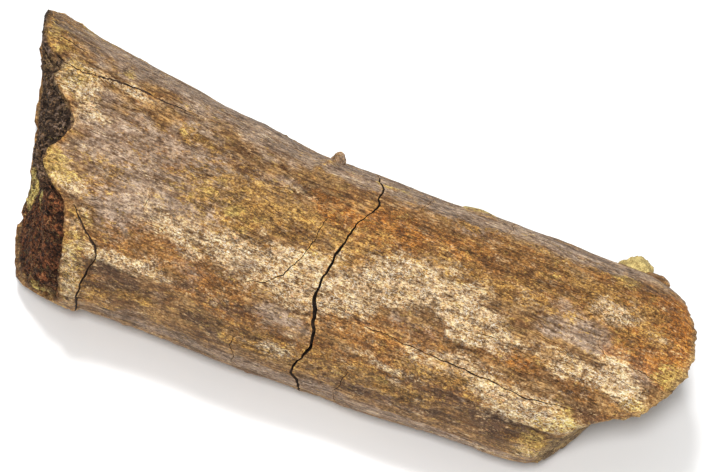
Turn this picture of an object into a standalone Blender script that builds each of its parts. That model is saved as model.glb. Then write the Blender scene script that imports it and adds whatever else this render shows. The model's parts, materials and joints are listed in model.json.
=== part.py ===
"""Fossil dinosaur bone section: one broken length of limb shaft, lying on its worn side.

The shaft runs along X. Its flared end at -X is broken open and shows the spongy core, and its
end at +X is broken to a rounded tongue. It rests on Z = 0 on a strip worn flat along its underside.
Angles go round the shaft in degrees: 0 is the far side (+Y), 90 the top (+Z), 180 the near side.
Stations are places along the shaft, counted from near its middle.
"""

import math

import bmesh
import bpy
import numpy as np
from mathutils import Vector, noise

MM = 0.001
BONE_COLOUR = (0.36, 0.21, 0.1)
BONE_ROUGHNESS = 0.7

# The shaft's oval section, as (station, size) in mm. The overall length is about 300 mm.
SEMI_WIDTH = [(-158, 58.5), (-125, 55.6), (-75, 51.0), (-25, 47.8), (25, 46.9), (75, 46.1), (150, 45.3)]
SEMI_HEIGHT = [(-158, 45.0), (-125, 43.8), (-75, 41.2), (-25, 39.0), (25, 38.5), (75, 38.0), (150, 35.5)]
BOW = [(-158, 2.4), (-125, 1.9), (-75, 1.6), (-25, 0.0), (25, 2.1), (75, 5.3), (150, 9.0)]
WORN_DEPTH = 2.6 * MM  # how much of the underside is worn flat
WORN_BLOCK = (0.42, 0.2, 0.02)  # the block that stands for the wear, in metres

# Where the outer bone ends round the left break, and where the spongy core behind it ends, in mm.
LEFT_RIM = [
    (6, -156), (24, -152.5), (46, -145), (58, -141), (65, -136), (68, -124), (75, -118), (85, -114),
    (109, -114), (117, -112), (123, -108), (127, -101), (131, -95), (150, -94), (170, -94), (188, -95),
    (197, -101), (210, -114), (225, -125), (247, -135), (264, -141), (292, -148), (309, -154),
    (324, -156), (340, -159), (354, -158),
]
LEFT_CORE = [
    (6, -153.5), (24, -149.5), (46, -143), (58, -139.5), (67, -136), (75, -128), (85, -123), (97, -121),
    (112, -120.5), (122, -117), (130, -111), (150, -106), (170, -106), (186, -109), (203, -114.5),
    (225, -123.5), (247, -133), (264, -139), (292, -146), (309, -151.5), (324, -153.5), (340, -156.5),
]
# How far the spongy core stands in from the outer bone's skin, as a share of the radius.
CORE_STEP = [(0, 0.04), (50, 0.045), (70, 0.1), (95, 0.09), (112, 0.06), (128, 0.08), (150, 0.06),
             (172, 0.045), (188, 0.04), (345, 0.04)]
# Where the shaft ends round the right break, in mm: a tongue on top, and a notch by the near flank.
RIGHT_RIM = [
    (0, 118), (20, 123), (32, 129), (56, 139), (69, 144), (81, 147), (96, 148.5), (108, 146), (116, 143),
    (124, 139), (130, 133), (136, 126), (142, 119), (149, 116), (158, 110), (167, 108), (179, 106),
    (190, 104), (205, 103), (235, 107), (270, 113), (300, 116), (330, 117),
]
FACE_STATION = 125 * MM  # the middle of the right break
FACE_DISH = 3.0 * MM  # how far the middle of the left break is sunk

# Gentle unevenness of the skin: height mm, wavelength mm, squeeze along the shaft, noise seed.
UNEVENNESS = [(0.9, 34.0, 1.0, 3.1), (0.35, 9.0, 0.4, 7.7)]

# Lengthwise ridges on the shaft: angle, half width in degrees, then (station, height) in mm.
FAR_RIDGE = (54, 15, [(-158, 2.4), (-110, 2.2), (-60, 1.5), (20, 1.3), (150, 1.0)])
NEAR_RIDGE = (143, 12, [(-158, 1.8), (-60, 1.8), (0, 1.2), (60, 1.5), (112, 2.4), (150, 0.5)])
TOP_FLAT = (97, 24, [(-158, -1.2), (0, -0.8), (150, -0.4)])
FAR_FLAT = (24, 12, [(-158, -0.6), (150, -0.4)])

# The mesh: segments round the shaft, rings along it, and the rings over each broken end.
SEGMENTS = 64
SHAFT_RINGS = 39
CORE_RINGS = (0.13, 0.28, 0.45, 0.62, 0.77, 0.89)  # shares of the core's radius
FACE_RINGS = (0.88, 0.74, 0.58, 0.4, 0.2)
CORE_EDGE = 0.085  # the core rounds off over this share of the radius
CORE_WALL = [(0.12, 0.35), (0.55, 0.1)]  # on the way from core to rim: share of the way, share of the edge
CORE_CURVE = 1.5  # how steeply each break curves out from its middle
FACE_CURVE = 1.3
# How the right end rounds over: (share of the length back from the rim, share of the radius lost).
END_ROUNDING = [(0.0, 0.075), (0.018, 0.03), (0.045, 0.008), (0.08, 0.0)]
RIM_LIP = 0.6 * MM  # the chipped edge of the outer bone, just above the core
# How rough the broken places are: the largest shift of a point.
CORE_ROUGHNESS = 1.3 * MM
RIM_ROUGHNESS = 0.7 * MM
TONGUE_ROUGHNESS = 0.3 * MM
ROUGH_WAVELENGTH = 6.5 * MM

# Cracks: (station mm, angle) points of the route, widest opening and depth in mm.
CRACKS = {
    "main_crack": (
        [(2, 26), (2, 34), (6, 47), (10, 59), (11, 71), (7, 83), (6, 96), (5, 107), (5, 120), (6, 128),
         (9, 140), (10, 149), (7, 160), (4, 174), (6, 186), (5, 204), (8, 222)],
        1.9, 13.0),
    "flake_crack": ([(-96, 127), (-89, 136), (-82, 143), (-83, 158), (-87, 174), (-88, 190), (-90, 206)],
                    1.3, 6.0),
    "ridge_crack": ([(-117, 65), (-104, 64), (-91, 62), (-76, 59)], 1.3, 5.0),
    "peak_crack": ([(-143, 58), (-131, 56), (-123, 55)], 1.0, 3.5),
    "near_split": ([(34, 130), (48, 132), (64, 135), (84, 135), (106, 138), (123, 140.5)], 1.0, 4.5),
}
CRACK_STEP = 4.5 * MM
CRACK_TIP = 0.3  # a crack's opening at its tips, as a share of its widest
CRACK_TIP_DEPTH = 0.45  # its depth at its tips, as a share of its deepest
CRACK_FOOT = 0.4  # its width at the foot, as a share of its opening
CRACK_UNEVEN = 0.25  # how much the opening varies on the way
CRACK_BEAT = 1.8  # the turn of that variation from one step to the next, in radians
CRACK_SWAY = 0.35 * MM  # how far the route sways from side to side
CRACK_LIFT = 3.0 * MM  # how far a cutter stands proud of the skin

# Lumps of crust grown on the bone: station mm, angle, (along, across, out) half sizes in mm, sink mm.
LUMP_KNOBS = 0.2  # how knobbly they are
LUMPS = {
    "crust_lump": (112, 20, (9.0, 7.0, 6.5), 1.5),
    "rim_lump": (123, 26, (4.5, 3.5, 2.4), 0.6),
    "top_nub": (-16, 40, (2.2, 8.0, 2.6), 0.5),
    "low_crust": (46, 30, (8.0, 4.5, 1.6), 0.4),
}


def smooth_profile(knots, place, reach, period=None):
    """Value of a knot list at each place, with its corners rounded over about twice the reach."""
    xs, ys = zip(*knots)
    samples = [np.interp(place + shift * reach, xs, ys, period=period) for shift in (-1, -0.5, 0, 0.5, 1)]
    return sum(samples) / len(samples)


def along(knots, station):
    """A size in metres at each station in metres, from knots in mm."""
    return smooth_profile(knots, station / MM, 8.0) * MM


def around(knots, angle):
    """A knot list's value at each angle in degrees round the shaft."""
    return smooth_profile(knots, angle % 360, 2.5, period=360)


def ridge(form, station, angle):
    """Height in metres of one lengthwise ridge or hollow."""
    middle, half_width, heights = form
    away = (angle - middle + 180) % 360 - 180
    return along(heights, station) * np.exp(-((away / half_width) ** 2))


def wavy(points, wavelength, seed):
    """Smooth noise between -1 and 1 at each point, at a wavelength in metres."""
    offset = Vector((seed, 0.37 * seed, -0.71 * seed))
    return np.array([noise.noise(Vector(p) / wavelength + offset) for p in points])


def shaft_section(station, angle):
    """The shaft's skin at each station and angle, before it is worn: places and outward directions."""
    turn = np.radians(angle)
    half_width, half_height = along(SEMI_WIDTH, station), along(SEMI_HEIGHT, station)
    out = np.stack([np.zeros_like(turn), half_height * np.cos(turn), half_width * np.sin(turn)], axis=1)
    out /= np.linalg.norm(out, axis=1)[:, None]
    places = np.stack([
        station,
        along(BOW, station) + half_width * np.cos(turn),
        half_height - WORN_DEPTH + half_height * np.sin(turn)], axis=1)
    height = sum(ridge(form, station, angle) for form in (FAR_RIDGE, NEAR_RIDGE, TOP_FLAT, FAR_FLAT))
    for size, wavelength, squeeze, seed in UNEVENNESS:
        height += size * MM * wavy(places * np.array([squeeze, 1, 1]), wavelength * MM, seed)
    return places + out * height[:, None], out


def shaft_axis(station):
    """The middle of the section at each station."""
    return np.stack([station, along(BOW, station), along(SEMI_HEIGHT, station) - WORN_DEPTH], axis=1)


def ring_places(angle):
    """Every ring from the left pole to the right pole, as (station, share of radius, roughness)."""
    left_rim, left_core = around(LEFT_RIM, angle) * MM, around(LEFT_CORE, angle) * MM
    right_rim, step = around(RIGHT_RIM, angle) * MM, around(CORE_STEP, angle)
    core_middle = left_core.mean() + FACE_DISH
    whole = np.ones_like(angle)
    rings = []
    for share in CORE_RINGS:
        station = core_middle + (left_core - core_middle) * share ** CORE_CURVE
        rings.append((station, share * (1 - step - CORE_EDGE), CORE_ROUGHNESS))
    rings.append((left_core, 1 - step - CORE_EDGE, CORE_ROUGHNESS))
    for way, edge in CORE_WALL:
        station = left_core + way * (left_rim - left_core)
        rings.append((station, 1 - step - edge * CORE_EDGE, RIM_ROUGHNESS))
    rings.append((left_rim - RIM_LIP, 1 - step, RIM_ROUGHNESS))
    rings.append((left_rim, whole, RIM_ROUGHNESS))
    length = right_rim - left_rim
    for n in range(1, SHAFT_RINGS + 1):
        part = n / (SHAFT_RINGS + 1)
        rings.append((left_rim + length * part * (1 - END_ROUNDING[-1][0]), whole, 0.0))
    for back, loss in reversed(END_ROUNDING):
        rings.append((right_rim - length * back, whole * (1 - loss), TONGUE_ROUGHNESS))
    for share in FACE_RINGS:
        station = FACE_STATION + (right_rim - FACE_STATION) * share ** FACE_CURVE
        rings.append((station, whole * share * (1 - END_ROUNDING[0][1]), RIM_ROUGHNESS))
    return rings, core_middle


def material(name, colour, roughness):
    """A plain stone-like material."""
    made = bpy.data.materials.new(name)
    made.use_nodes = True
    shader = made.node_tree.nodes["Principled BSDF"]
    shader.inputs["Base Color"].default_value = (*colour, 1.0)
    shader.inputs["Roughness"].default_value = roughness
    shader.inputs["Metallic"].default_value = 0.0
    return made


def new_object(name, mesh_data):
    """An object of this mesh, linked to the scene."""
    mesh = bpy.data.meshes.new(name)
    mesh_data.to_mesh(mesh)
    mesh_data.free()
    made = bpy.data.objects.new(name, mesh)
    bpy.context.scene.collection.objects.link(made)
    return made


def make_bone():
    """The bone: a sphere's rings drawn out into the shaft and shaped over both broken ends."""
    angle = np.arange(SEGMENTS) * 360.0 / SEGMENTS
    rings, core_middle = ring_places(angle)
    mesh_data = bmesh.new()
    loops = []
    for count, (station, share, roughness) in enumerate(rings):
        skin, _ = shaft_section(station, angle)
        axis = shaft_axis(station)
        places = axis + (skin - axis) * np.reshape(share, (-1, 1))
        if roughness:
            rough = np.stack([wavy(places, ROUGH_WAVELENGTH, 11.3 + shift) for shift in (0, 5, 9)], axis=1)
            places = places + roughness * rough
        loops.append([mesh_data.verts.new(p) for p in places])
    for first, second in zip(loops, loops[1:]):
        for n in range(SEGMENTS):
            after = (n + 1) % SEGMENTS
            mesh_data.faces.new((first[n], first[after], second[after], second[n]))
    poles = [(loops[0], core_middle), (loops[-1], FACE_STATION)]
    for loop, station in poles:
        pole = mesh_data.verts.new(shaft_axis(np.array([station]))[0])
        for n in range(SEGMENTS):
            mesh_data.faces.new((loop[n], pole, loop[(n + 1) % SEGMENTS]))
    bmesh.ops.recalc_face_normals(mesh_data, faces=mesh_data.faces)
    bmesh.ops.triangulate(mesh_data, faces=mesh_data.faces)
    bone = new_object("fossil_bone", mesh_data)
    bone.data.materials.append(material("fossil_bone", BONE_COLOUR, BONE_ROUGHNESS))
    return bone


def crack_route(points):
    """Even steps along a crack's route on the skin: places, outward directions and shares of its length."""
    fine = np.linspace(0, len(points) - 1, 400)
    whole = np.arange(len(points))
    station = np.interp(fine, whole, [p[0] for p in points]) * MM
    angle = np.interp(fine, whole, [p[1] for p in points])
    skin, _ = shaft_section(station, angle)
    run = np.concatenate([[0], np.cumsum(np.linalg.norm(np.diff(skin, axis=0), axis=1))])
    steps = np.linspace(0, run[-1], max(4, round(run[-1] / CRACK_STEP)))
    shares = steps / run[-1]
    places, out = shaft_section(np.interp(steps, run, station), np.interp(steps, run, angle))
    return places, out, shares


def make_crack_cutter(name, points, opening, depth):
    """A thin wedge that follows a crack's route over the skin: wide at the lips, narrow at its foot."""
    places, out, shares = crack_route(points)
    heading = np.gradient(places, axis=0)
    side = np.cross(heading, out)
    side /= np.linalg.norm(side, axis=1)[:, None]
    mesh_data = bmesh.new()
    loops = []
    for n, share in enumerate(shares):
        swell = math.sqrt(max(0.0, math.sin(math.pi * share)))
        uneven = 1 + CRACK_UNEVEN * math.sin(CRACK_BEAT * n)
        half = 0.5 * opening * MM * uneven * (CRACK_TIP + (1 - CRACK_TIP) * swell)
        reach = depth * MM * (CRACK_TIP_DEPTH + (1 - CRACK_TIP_DEPTH) * swell)
        middle = places[n] + side[n] * CRACK_SWAY * (-1) ** n
        lip, foot = middle + out[n] * CRACK_LIFT, middle - out[n] * reach
        edge, foot_edge = side[n] * half, side[n] * half * CRACK_FOOT
        corners = (lip + edge, lip - edge, foot - foot_edge, foot + foot_edge)
        loops.append([mesh_data.verts.new(c) for c in corners])
    for first, second in zip(loops, loops[1:]):
        for n in range(4):
            after = (n + 1) % 4
            mesh_data.faces.new((first[n], first[after], second[after], second[n]))
    mesh_data.faces.new(loops[0])
    mesh_data.faces.new(reversed(loops[-1]))
    bmesh.ops.recalc_face_normals(mesh_data, faces=mesh_data.faces)
    return new_object(name, mesh_data)


def make_lump(name, station, angle, half_sizes, sink):
    """A knobbly lump of crust, sunk a little into the skin."""
    places, out = shaft_section(np.array([station * MM]), np.array([float(angle)]))
    mesh_data = bmesh.new()
    bmesh.ops.create_icosphere(mesh_data, subdivisions=2, radius=1.0)
    lengthwise = Vector((1, 0, 0))
    outward = Vector(out[0])
    across = outward.cross(lengthwise)
    centre = Vector(places[0]) - outward * sink * MM
    for vert in mesh_data.verts:
        knob = 1 + LUMP_KNOBS * noise.noise(vert.co * 1.7 + centre / MM)
        along_size, across_size, out_size = (vert.co[n] * half_sizes[n] * MM * knob for n in range(3))
        vert.co = centre + lengthwise * along_size + across * across_size + outward * out_size
    bmesh.ops.recalc_face_normals(mesh_data, faces=mesh_data.faces)
    return new_object(name, mesh_data)


def make_worn_block():
    """A block under Z = 0 that takes away what is worn off the underside."""
    mesh_data = bmesh.new()
    bmesh.ops.create_cube(mesh_data, size=1.0)
    bmesh.ops.scale(mesh_data, vec=WORN_BLOCK, verts=mesh_data.verts)
    bmesh.ops.translate(mesh_data, vec=(0, 0, -WORN_BLOCK[2] / 2), verts=mesh_data.verts)
    return new_object("worn_block", mesh_data)


def use_as_tool(tool, bone, operation):
    """Adds a Boolean of this tool to the bone, and keeps the tool out of the part."""
    tool.hide_render = True
    tool.display_type = "WIRE"
    change = bone.modifiers.new(tool.name, "BOOLEAN")
    change.operation = operation
    change.solver = "EXACT"
    change.object = tool


def centre_on_origin(objects, bone):
    """Hangs everything on an empty placed so that the bone's box is centred over the origin."""
    bpy.context.view_layer.update()
    shaped = bone.evaluated_get(bpy.context.evaluated_depsgraph_get())
    corners = np.array([v.co for v in shaped.data.vertices])
    low, high = corners.min(axis=0), corners.max(axis=0)
    stand = bpy.data.objects.new("stand_point", None)
    bpy.context.scene.collection.objects.link(stand)
    for made in objects:
        made.parent = stand
    stand.location = (-(low[0] + high[0]) / 2, -(low[1] + high[1]) / 2, -low[2])
    print("stand point, mm:", [round(c / MM, 3) for c in stand.location])


def main():
    for old in list(bpy.data.objects):
        bpy.data.objects.remove(old)
    bone = make_bone()
    tools = [make_worn_block()]
    use_as_tool(tools[-1], bone, "DIFFERENCE")
    for name, (station, angle, half_sizes, sink) in LUMPS.items():
        tools.append(make_lump(name, station, angle, half_sizes, sink))
        use_as_tool(tools[-1], bone, "UNION")
    for name, (points, opening, depth) in CRACKS.items():
        tools.append(make_crack_cutter(name, points, opening, depth))
        use_as_tool(tools[-1], bone, "DIFFERENCE")
    centre_on_origin([bone, *tools], bone)


main()
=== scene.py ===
"""Fossil dinosaur bone section, dressed: one weathered length of limb shaft with its crusts and cracks.

The bone is drawn out of a ball to the shaft's own profiles, weathered by relief that follows its
stains and crusts, ground flat underneath, and then cracked with thin cutters.
A station is a place along the shaft in mm. Angles go round the shaft in degrees: 0 is the far
side (+Y), 90 the top (+Z) and 180 the near side.
"""

import json
import logging
import math
from collections.abc import Callable
from dataclasses import dataclass
from enum import Enum
from functools import partial, reduce

import bpy
import numpy as np
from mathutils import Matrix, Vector, noise

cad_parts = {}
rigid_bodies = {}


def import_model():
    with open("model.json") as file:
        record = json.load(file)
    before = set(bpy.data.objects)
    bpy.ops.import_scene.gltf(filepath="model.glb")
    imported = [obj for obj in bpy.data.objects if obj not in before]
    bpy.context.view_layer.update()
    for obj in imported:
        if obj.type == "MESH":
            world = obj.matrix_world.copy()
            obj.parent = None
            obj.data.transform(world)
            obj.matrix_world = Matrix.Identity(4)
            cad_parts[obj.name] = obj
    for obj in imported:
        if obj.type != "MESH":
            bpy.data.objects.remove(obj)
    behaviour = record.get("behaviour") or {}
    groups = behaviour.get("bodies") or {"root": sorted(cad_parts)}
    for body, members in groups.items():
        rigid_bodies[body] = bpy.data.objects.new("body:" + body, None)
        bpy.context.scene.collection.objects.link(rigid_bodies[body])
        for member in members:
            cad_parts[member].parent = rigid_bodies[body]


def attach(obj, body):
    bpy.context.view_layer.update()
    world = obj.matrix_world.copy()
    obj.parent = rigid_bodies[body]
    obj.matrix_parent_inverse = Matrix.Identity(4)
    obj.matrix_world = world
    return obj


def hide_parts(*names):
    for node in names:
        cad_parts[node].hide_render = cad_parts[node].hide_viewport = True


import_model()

logging.basicConfig(level=logging.INFO, format="%(message)s")
log = logging.getLogger("fossil_bone")

MM = 0.001
ARC = 0.76  # mm of skin to a degree round the shaft
Knots = tuple[tuple[float, float], ...]
Triple = tuple[float, float, float]
Tone = Triple  # red, green and blue


class Tint(Enum):
    """The stains and crusts on the bone, named as the attributes that carry them."""

    LILAC = "lilac"
    UMBER = "umber"
    RUST = "rust"
    ORANGE = "orange"
    OCHRE = "ochre"
    CREAM = "cream"
    YELLOW = "yellow"


BARE_TINTS = (Tint.LILAC, Tint.UMBER)  # bare bone, which shows its grain


class BreakTint(Enum):
    """The crusts on the broken left end, named as the attributes that carry them."""

    TAN = "break_tan"
    LICHEN = "break_lichen"


class Side(Enum):
    """Which side of a route stands proud: before it or past it."""

    BEFORE = -1
    PAST = 1


class Joining(Enum):
    """How another body changes the bone, in Blender's words."""

    FUSE = "UNION"
    CUT = "DIFFERENCE"


def follow(knots: Knots, place: np.ndarray, reach: float, period: float | None = None) -> np.ndarray:
    """Reads a knot list with its corners rounded over.

    Args:
        knots: (place, value) pairs.
        place: where to read it.
        reach: how far each corner is rounded over to each side.
        period: the length after which the list repeats, if it does.

    Returns:
        The value at each place.
    """
    xs, ys = zip(*knots)
    samples = [np.interp(place + shift * reach, xs, ys, period=period) for shift in (-1, -0.5, 0, 0.5, 1)]
    return sum(samples) / len(samples)


def step(value: np.ndarray, low: float, high: float) -> np.ndarray:
    """Goes smoothly from 0 at low to 1 at high."""
    share = np.clip((value - low) / (high - low), 0.0, 1.0)
    return share * share * (3 - 2 * share)


def ripple(points: np.ndarray, size: float, seed: float, stretch: float = 1.0) -> np.ndarray:
    """Smooth noise between -1 and 1.

    Args:
        points: places in metres.
        size: the wavelength in mm.
        seed: picks one pattern of many.
        stretch: how many times longer the pattern is along the shaft.

    Returns:
        The noise at each point.
    """
    scaled = points * np.array([1 / stretch, 1, 1]) / (size * MM) + np.array([seed, 0.37 * seed, -0.71 * seed])
    return np.array([noise.noise(Vector(p)) for p in scaled])


def rough(points: np.ndarray, size: float, seed: float, stretch: float = 1.0, octaves: int = 3) -> np.ndarray:
    """Noise of several sizes, each half the last. It takes what ripple takes."""
    return sum(ripple(points, size / 2 ** n, seed + 3.1 * n, stretch) / 1.6 ** n for n in range(octaves))


def cells(points: np.ndarray, size: float, seed: float) -> np.ndarray:
    """How far each point is from the walls of a sponge of cells: 0 on a wall, about 1 in a cell's middle."""
    scaled = points / (size * MM) + seed
    return np.array([(d[1] - d[0]) for d in (noise.voronoi(Vector(p))[0] for p in scaled)])


@dataclass(frozen=True)
class ShaftForm:
    """The shaft's profiles in mm along its stations, the same as the solid's but for the finer left rim."""

    stand: tuple[float, float] = (5.467, -4.3)
    worn_depth: float = 2.6
    semi_width: Knots = ((-158, 58.5), (-125, 55.6), (-75, 51.0), (-25, 47.8), (25, 46.9), (75, 46.1), (150, 45.3))
    semi_height: Knots = ((-158, 45.0), (-125, 43.8), (-75, 41.2), (-25, 39.0), (25, 38.5), (75, 38.0), (150, 35.5))
    bow: Knots = ((-158, 2.4), (-125, 1.9), (-75, 1.6), (-25, 0.0), (25, 2.1), (75, 5.3), (150, 9.0))
    ridges: tuple[tuple[float, float, Knots], ...] = (
        (54, 15, ((-158, 2.4), (-110, 2.2), (-60, 1.5), (20, 1.3), (150, 1.0))),
        (143, 12, ((-158, 1.8), (-60, 1.8), (0, 1.2), (60, 1.5), (112, 2.4), (150, 0.5))),
        (97, 24, ((-158, -1.2), (0, -0.8), (150, -0.4))),
        (24, 12, ((-158, -0.6), (150, -0.4))),
    )
    unevenness: tuple[tuple[float, float, float, float], ...] = ((0.9, 34.0, 1.0, 3.1), (0.35, 9.0, 0.4, 7.7))
    left_rim: Knots = (
        (6, -156), (24, -152.5), (46, -145), (58, -141), (64, -137), (67, -131), (69, -123.5), (71, -125.5),
        (75, -127.5), (79, -125), (82, -120), (85, -116), (90, -112), (98, -111), (104, -113),
        (109, -115.5), (113, -115), (117, -111.5), (122, -106), (126, -100), (133, -97), (145, -94.5),
        (172, -94), (188, -95), (197, -100), (210, -114), (225, -125), (247, -135), (264, -141), (292, -148),
        (309, -154), (324, -156), (340, -159), (354, -158))
    left_core: Knots = (
        (6, -153.5), (24, -149.5), (46, -143), (58, -140), (66, -137.5), (75, -131.5), (82, -127.5), (90, -124),
        (98, -122.5), (112, -122), (122, -117), (130, -111), (150, -106), (170, -106), (186, -109), (203, -114.5),
        (225, -123.5), (247, -133), (264, -139), (292, -146), (309, -151.5), (324, -153.5), (340, -156.5))
    core_step: Knots = (
        (0, 0.04), (50, 0.045), (70, 0.07), (95, 0.05), (112, 0.05), (128, 0.06), (150, 0.05),
        (172, 0.045), (188, 0.04), (345, 0.04))
    right_rim: Knots = (
        (0, 118), (20, 123), (32, 129), (56, 139), (69, 144), (81, 147), (96, 148.5), (108, 146), (116, 143),
        (124, 139), (130, 133), (136, 126), (142, 119), (149, 116), (158, 110), (167, 108), (179, 106),
        (190, 104), (205, 103), (235, 107), (270, 113), (300, 116), (330, 117))

    def along(self, knots: Knots, station: np.ndarray) -> np.ndarray:
        """A size in mm at each station."""
        return follow(knots, station, 8.0)

    def around(self, knots: Knots, angle: np.ndarray, reach: float = 2.0) -> np.ndarray:
        """A knot list's value at each angle."""
        return follow(knots, angle % 360, reach, period=360)

    def skin(self, station: np.ndarray, angle: np.ndarray) -> tuple[np.ndarray, np.ndarray]:
        """The sound skin, before any weathering.

        Args:
            station: places along the shaft in mm.
            angle: degrees round the shaft.

        Returns:
            Points in metres, and the outward direction at each.
        """
        turn = np.radians(angle)
        wide, high = self.along(self.semi_width, station), self.along(self.semi_height, station)
        out = np.stack([np.zeros_like(turn), high * np.cos(turn), wide * np.sin(turn)], axis=1)
        out /= np.linalg.norm(out, axis=1)[:, None]
        flat = np.stack([
            station, self.along(self.bow, station) + wide * np.cos(turn),
            high - self.worn_depth + high * np.sin(turn)], axis=1)
        height = np.zeros_like(turn)
        for middle, half, heights in self.ridges:
            away = (angle - middle + 180) % 360 - 180
            height += self.along(heights, station) * np.exp(-((away / half) ** 2))
        for size, wavelength, squeeze, seed in self.unevenness:
            height += size * ripple(flat * MM, wavelength, seed, 1 / squeeze)
        return (flat + out * height[:, None] + np.array([*self.stand, 0])) * MM, out

    def axis(self, station: np.ndarray) -> np.ndarray:
        """Finds the middle of the section.

        Args:
            station: places along the shaft in mm.

        Returns:
            A point in metres at each station.
        """
        high = self.along(self.semi_height, station)
        middle = np.stack([station, self.along(self.bow, station), high - self.worn_depth], axis=1)
        return (middle + np.array([*self.stand, 0])) * MM

    def locate(self, places: np.ndarray) -> tuple[np.ndarray, np.ndarray, np.ndarray]:
        """Finds where points lie on the shaft.

        Args:
            places: points in metres.

        Returns:
            Station in mm, angle in degrees, and share of the way from the axis to the oval.
        """
        station = places[:, 0] / MM - self.stand[0]
        across = places[:, 1] / MM - self.stand[1] - self.along(self.bow, station)
        across = across / self.along(self.semi_width, station)
        high = self.along(self.semi_height, station)
        up = (places[:, 2] / MM + self.worn_depth - high) / high
        return station, np.degrees(np.arctan2(up, across)) % 360, np.hypot(across, up)


@dataclass(frozen=True)
class Patch:
    """A stain, crust or swelling on the skin: its middle, half sizes in mm, turn in degrees and strength."""

    station: float
    angle: float
    half_length: float
    half_width: float
    turn: float
    strength: float

    def cover(self, station: np.ndarray, angle: np.ndarray) -> np.ndarray:
        """Works out how much of it lies at each place.

        Args:
            station: places along the shaft in mm.
            angle: degrees round the shaft.

        Returns:
            Its strength in the middle, fading to 0.
        """
        along = station - self.station
        across = ((angle - self.angle + 180) % 360 - 180) * ARC
        turn = math.radians(self.turn)
        length = (along * math.cos(turn) + across * math.sin(turn)) / self.half_length
        width = (across * math.cos(turn) - along * math.sin(turn)) / self.half_width
        return self.strength * np.exp(-(length ** 2 + width ** 2))


@dataclass(frozen=True)
class Ledge:
    """A small step along a crack: one side stands proud and fades back into the skin. Sizes in mm."""

    route: Knots
    lengthwise: bool
    side: Side
    height: float
    fade: float

    def rise(self, station: np.ndarray, angle: np.ndarray) -> np.ndarray:
        """Works out its height at each place.

        Args:
            station: places along the shaft in mm.
            angle: degrees round the shaft.

        Returns:
            The height in mm.
        """
        ends = [p[0] for p in self.route] if self.lengthwise else [p[1] for p in self.route]
        if self.lengthwise:
            run, away = station, (angle - np.interp(station, *zip(*self.route))) * ARC
        else:
            run, away = angle, station - np.interp(angle, *zip(*[(a, s) for s, a in self.route]))
        away = away * self.side.value
        window = step(run, min(ends) - 4, min(ends) + 4) * (1 - step(run, max(ends) - 4, max(ends) + 4))
        return self.height * window * step(away, -0.3, 0.5) * np.exp(-np.maximum(away, 0) / self.fade)


@dataclass(frozen=True)
class Crack:
    """A crack's route over the skin as (station, angle), with its widest opening and depth in mm.

    Sway is how far it wanders off the route, and widths are shares of the opening along its length.
    """

    name: str
    route: Knots
    opening: float
    depth: float
    sway: float = 1.0
    widths: Knots = ((0, 0.25), (0.12, 0.7), (0.5, 1.0), (0.88, 0.7), (1, 0.25))


@dataclass(frozen=True)
class Lump:
    """A knob of crust grown on the bone. Sizes in mm: along, across, out, and how far it is sunk."""

    name: str
    station: float
    angle: float
    half_sizes: Triple
    sink: float
    crusted: bool = True


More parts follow.
